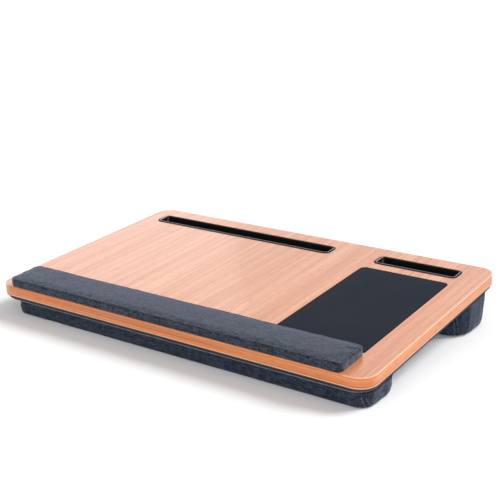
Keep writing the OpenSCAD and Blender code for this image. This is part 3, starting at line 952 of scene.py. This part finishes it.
def slit_row(cushion, above):
    """Places along the zip's slit: over it where above is 1, under it where it is -1."""
    steps = 80
    y = cushion.mid.y + cushion.inner * cushion.half_d
    z = cushion.zip_z + above * (SLIT_HALF_H + 2 * MM)
    reach = SLIT_HALF_L + 2 * MM
    return [Vector((cushion.mid.x + (2 * step / steps - 1) * reach, y, z))
            for step in range(steps + 1)]


def sew_cushion(cushion, piece):
    """Rows of stitches on both sides of each end seam, and along the zip's slit."""
    surface = BVHTree.FromObject(piece, bpy.context.evaluated_depsgraph_get())
    rows = [seam_row(cushion, end, face, offset)
            for end in (-1, 1) for offset in STITCH_OFFSETS for face in (-1, 1)]
    rows += [slit_row(cushion, above) for above in (-1, 1)]
    make_stitches(piece.name + "_stitches", [traced(surface, row) for row in rows])


front_cushion = Cushion("front_cushion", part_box("front_cushion_cover"),
                        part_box("front_zip_teeth"), 18 * MM, 3.6 * MM, 1, -2 * MM, 6.3 * MM)
rear_cushion = Cushion("rear_cushion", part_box("rear_cushion_cover"),
                       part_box("rear_zip_teeth"), 30 * MM, 8 * MM, -1, 2 * MM, 14 * MM)


# Zip tapes

# Half the width that the tapes leave open, where their corded edges meet the teeth
TEETH_EDGE = 2.5 * MM
TAPE_STEP = 2 * MM


def make_zip_tapes(name, node):
    """Two woven tapes with a corded edge against the teeth, slightly wavy along their length."""
    (left, front, low), (right, back, high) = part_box(node)
    middle = Vector((0, (front + back) / 2, (low + high) / 2))
    reach, half_t = (high - low) / 2, (back - front) / 2
    cord, waist = half_t + 0.12 * MM, half_t - 0.1 * MM
    half = [(waist, TEETH_EDGE + 0.02 * MM), (cord, TEETH_EDGE + 0.5 * MM),
            (waist, TEETH_EDGE + 1.0 * MM), (half_t, reach)]
    section = half + [(-depth, height) for depth, height in reversed(half)]
    count = round((right - left) / TAPE_STEP)
    points, faces = [], []
    for side in (-1, 1):
        first = len(points)
        for step in range(count + 1):
            x = left + (right - left) * step / count
            for depth, height in section:
                wave = 0.12 * MM * soft_noise(Vector((x, side, 0)), 9 * MM, 3.0)
                share = (height - TEETH_EDGE) / (reach - TEETH_EDGE)
                points.append(middle + Vector((x, depth + wave * share, side * height)))
        sides = len(section)
        rings = [[first + step * sides + k for k in range(sides)] for step in range(count + 1)]
        strip = [(a[k], a[(k + 1) % sides], b[(k + 1) % sides], b[k])
                 for a, b in zip(rings, rings[1:]) for k in range(sides)]
        strip += [tuple(reversed(rings[0])), tuple(rings[-1])]
        faces += [face[::side] for face in strip]
    piece = new_piece(name, points, faces, "zip_tape")
    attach(piece, BODY)
    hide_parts(node)


# Wrist rest

# Depth, setback from the board's front edge, corners and the height of the ridge round the top
REST_D = 56.4 * MM
REST_SETBACK = -0.1 * MM
REST_R = 9 * MM
REST_RIDGE_H = 11.4 * MM

# How far the top is crowned in its middle, and how far it falls to the rear
REST_CROWN = 0.9 * MM
REST_FALL = 0.8 * MM

# Half the width, and the middle of the underside in the board's axes
REST_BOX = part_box("wrist_rest_cover")
REST_HALF_W = (REST_BOX[1][0] - REST_BOX[0][0]) / 2
REST_CENTRE = Vector(((REST_BOX[0][0] + REST_BOX[1][0]) / 2, REST_SETBACK + REST_D / 2, 0))


def rest_place(x, y, share):
    """A point of the rest, at a share of the ridge's height or, past 1, on the crowned top."""
    z = REST_RIDGE_H * min(1.0, share)
    if share > 1:
        deep = (y + REST_D / 2) / REST_D
        crown = REST_CROWN * math.sin(math.pi * deep) - REST_FALL * deep
        z += crown * (0.3 + 0.7 * smooth_step((REST_HALF_W - abs(x)) / (22 * MM)))
    return board_axes @ (REST_CENTRE + Vector((x, y, z)))


def rest_move(local):
    """Outward move of a place on the rest, in the board's axes: slack, and folds at the ends."""
    from_end = REST_HALF_W - abs(local.x - REST_CENTRE.x)
    folds = math.exp(-max(0.0, from_end - 6 * MM) / (14 * MM))
    wave = soft_noise(Vector((local.x, local.y * 2.6, local.z)), 12 * MM, 3.0)
    slack = soft_noise(local, 45 * MM, 7.0) * 0.5 + soft_noise(local, 17 * MM, 1.0) * 0.22
    return (1.1 * folds * wave + slack) * MM * smooth_step(local.z / (4 * MM))


def make_wrist_rest():
    """Cloth-covered foam roll on the board: upright front, soft ridge, crowned top."""
    core_w = REST_HALF_W - REST_R
    straight = spaced([(-1.0, 1.6 * MM / core_w), (-1 + 30 * MM / core_w, 3.5 * MM / core_w),
                       (1 - 30 * MM / core_w, 1.6 * MM / core_w), (1.0, 1.0)])
    rows = [-1 + 2 * j / 24 for j in range(25)]
    plan = Plan(REST_HALF_W, REST_D / 2, REST_R, straight, 12, rows)
    profile = [(1.1, 0.0), (0.8, 0.08), (0.6, 0.22), (0.35, 0.45), (0.1, 0.66), (0.0, 0.8),
               (0.25, 0.9), (0.7, 0.965), (1.3, 0.99), (2.2, 1.0), (4.0, 2.0)]
    levels = [(inset * MM, share) for inset, share in profile]
    points, faces = pillow(plan, levels, rest_place)
    from_board = board_axes.inverted()

    def held(place):
        return (from_board @ place).z < 2.2 * MM

    inward = 0.5 * MM
    small = Plan(REST_HALF_W - inward, REST_D / 2 - inward, REST_R - inward,
                 straight[::2] + [1.0], 6, rows)
    surface = puffed(*pillow(small, levels, rest_place), held,
                     voxel=3.2 * MM, pressure=3.0, cap=3.0 * MM, loose=0.01)
    points = [point.lerp(surface.find_nearest(point)[0],
                         0.35 * smooth_step((from_board @ point).z / (4 * MM)))
              for point in points]
    final = []
    for point, normal in zip(points, surface_normals(points, faces)):
        place = from_board @ (point + normal * rest_move(from_board @ point))
        place.z = max(place.z, 0.02 * MM)
        final.append(board_axes @ place)
    piece = new_piece("wrist_rest", final, faces, "rest_cloth")
    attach(piece, BODY)
    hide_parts("wrist_rest_cover", "wrist_rest_foam")


# Cloth-wrapped panel

# Setback from the board's edge, corners, thickness of the cloth and its lower edge's radius. The
# corners are tighter than the stiffener's, as the cloth is gathered there.
WRAP_INSET = 2.5 * MM
WRAP_R = 25 * MM
WRAP_CLOTH = 0.8 * MM
WRAP_EDGE_R = 2 * MM


def wrap_place(x, y, height):
    """A point of the wrap, at a height over the start of its upright edge."""
    place = Vector((x, y + BOARD_D / 2, -WOOD_T - PANEL_T - WRAP_T + WRAP_EDGE_R + height))
    if height < 0:
        wave = soft_noise(Vector((x, y, 0)), 40 * MM, 5.0) * 0.12 * MM
        place.z += wave - 0.12 * MM
    return board_axes @ place


def make_underside_cloth():
    """The cloth under the panel and up its edge: an outer and an inner skin, joined on top."""
    half_w, half_d = BOARD_W / 2 - WRAP_INSET, BOARD_D / 2 - WRAP_INSET
    core_w, core_d = half_w - WRAP_R, half_d - WRAP_R
    plan = Plan(half_w, half_d, WRAP_R, spaced([(-1.0, 8 * MM / core_w), (1.0, 1.0)]), 14,
                spaced([(-1.0, 8 * MM / core_d), (1.0, 1.0)]))
    outer = [(WRAP_EDGE_R * (1 - math.sin(angle)), -WRAP_EDGE_R * math.cos(angle))
             for angle in quarter_turn(5)]
    outer.append((0.0, WRAP_T - WRAP_EDGE_R))
    shrink = WRAP_CLOTH / WRAP_EDGE_R
    inner = [(outer[0][0], outer[0][1] + WRAP_CLOTH)]
    inner += [(inset + WRAP_CLOTH - inset * shrink, height - min(0.0, height) * shrink)
              for inset, height in outer[1:]]
    points, faces, tops = [], [], []
    for skin, inside in ((outer, False), (inner, True)):
        ring = add_grid(plan, points, faces, *skin[0], wrap_place, flip=not inside)
        for inset, height in skin[1:]:
            above = add_ring(plan, points, inset, height, wrap_place)
            join_rings(faces, ring, above, flip=inside)
            ring = above
        tops.append(ring)
    join_rings(faces, *tops)
    piece = new_piece("underside_wrap", points, faces, "base_cloth")
    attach(piece, BODY)
    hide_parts("underside_cloth")


# Stage

def seen_directly(tree):
    """1 for the camera's rays and for reflections, 0 for the light on other surfaces."""
    path = add(tree, "ShaderNodeLightPath")
    return calc(tree, "MAXIMUM", path.outputs["Is Camera Ray"], path.outputs["Is Glossy Ray"])


def make_floor():
    """Pale floor, a little lifted where it is seen."""
    reach = 40.0
    corners = [(-reach, -reach, 0), (reach, -reach, 0), (reach, reach, 0), (-reach, reach, 0)]
    mesh = bpy.data.meshes.new("floor")
    mesh.from_pydata(corners, [], [(0, 1, 2, 3)])
    floor = bpy.data.objects.new("floor", mesh)
    bpy.context.scene.collection.objects.link(floor)
    made, tree, shader = material("floor", Base_Color=(0.94, 0.94, 0.94, 1), Roughness=0.9,
                                  Specular_IOR_Level=0.1)
    lift = calc(tree, "MULTIPLY", seen_directly(tree), 0.07)
    glow = add(tree, "ShaderNodeEmission", {"Color": (1, 1, 1, 1), "Strength": lift})
    both = add(tree, "ShaderNodeAddShader", {0: shader.outputs[0], 1: glow.outputs[0]})
    tree.links.new(both.outputs[0], tree.nodes["Material Output"].inputs["Surface"])
    mesh.materials.append(made)


def make_world():
    """White to the camera and in reflections, softer as a light."""
    world = bpy.data.worlds.new("studio")
    bpy.context.scene.world = world
    world.use_nodes = True
    tree = world.node_tree
    tree.nodes.clear()
    strength = spread(tree, seen_directly(tree), 0.0, 1.0, 0.4, 1.0)
    sky = add(tree, "ShaderNodeBackground", {"Color": (1, 1, 1, 1), "Strength": strength})
    out = add(tree, "ShaderNodeOutputWorld")
    tree.links.new(sky.outputs[0], out.inputs["Surface"])


def hang_lamp(name, data, azimuth, elevation, distance=0.0):
    """Hangs a lamp that faces the origin, at an azimuth from +X and an elevation, in degrees."""
    turn, lift = math.radians(azimuth), math.radians(elevation)
    source = Vector((math.cos(turn) * math.cos(lift), math.sin(turn) * math.cos(lift),
                     math.sin(lift)))
    lamp = bpy.data.objects.new(name, data)
    lamp.location = source * distance
    lamp.rotation_euler = source.to_track_quat("Z", "Y").to_euler()
    bpy.context.scene.collection.objects.link(lamp)
    return lamp


def make_sun(name, azimuth, elevation, strength, softness):
    """A soft sun, whose softness is its angle in degrees."""
    data = bpy.data.lights.new(name, "SUN")
    data.energy = strength
    data.angle = math.radians(softness)
    hang_lamp(name, data, azimuth, elevation)


def make_panel(name, azimuth, elevation, distance, size, power):
    """A square soft box, seen only as light and in reflections."""
    data = bpy.data.lights.new(name, "AREA")
    data.size = size
    data.energy = power
    panel = hang_lamp(name, data, azimuth, elevation, distance)
    panel.visible_camera = False


def make_camera():
    data = bpy.data.cameras.new("camera")
    data.lens = FOCAL_MM
    data.sensor_width = SENSOR_MM
    data.clip_end = 100
    camera = bpy.data.objects.new("camera", data)
    camera.location = CAMERA_PLACE
    look = (CAMERA_AIM - CAMERA_PLACE).to_track_quat("-Z", "Y")
    camera.rotation_euler = (look @ Quaternion((0, 0, 1), CAMERA_ROLL)).to_euler()
    bpy.context.scene.collection.objects.link(camera)
    bpy.context.scene.camera = camera


make_camera()
make_world()
make_floor()
make_sun("key", 50, 44, 2.5, 26)
make_sun("fill", -72, 26, 1.0, 60)
make_panel("rear_panel", 142, 20, 3.0, 1.4, 2.6)
dress_cad_nodes()

front_piece = make_cushion(front_cushion, 34, 2.0)
sew_cushion(front_cushion, front_piece)
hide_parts("front_cushion_cover", "front_cushion_fill")
rear_piece = make_cushion(rear_cushion, 48, 11.0)
sew_cushion(rear_cushion, rear_piece)
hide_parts("rear_cushion_cover", "rear_cushion_fill")
make_zip_tapes("front_zip_tape", "front_zip_tapes")
make_zip_tapes("rear_zip_tape", "rear_zip_tapes")
make_wrist_rest()
make_underside_cloth()

bpy.context.scene.view_settings.view_transform = "Standard"
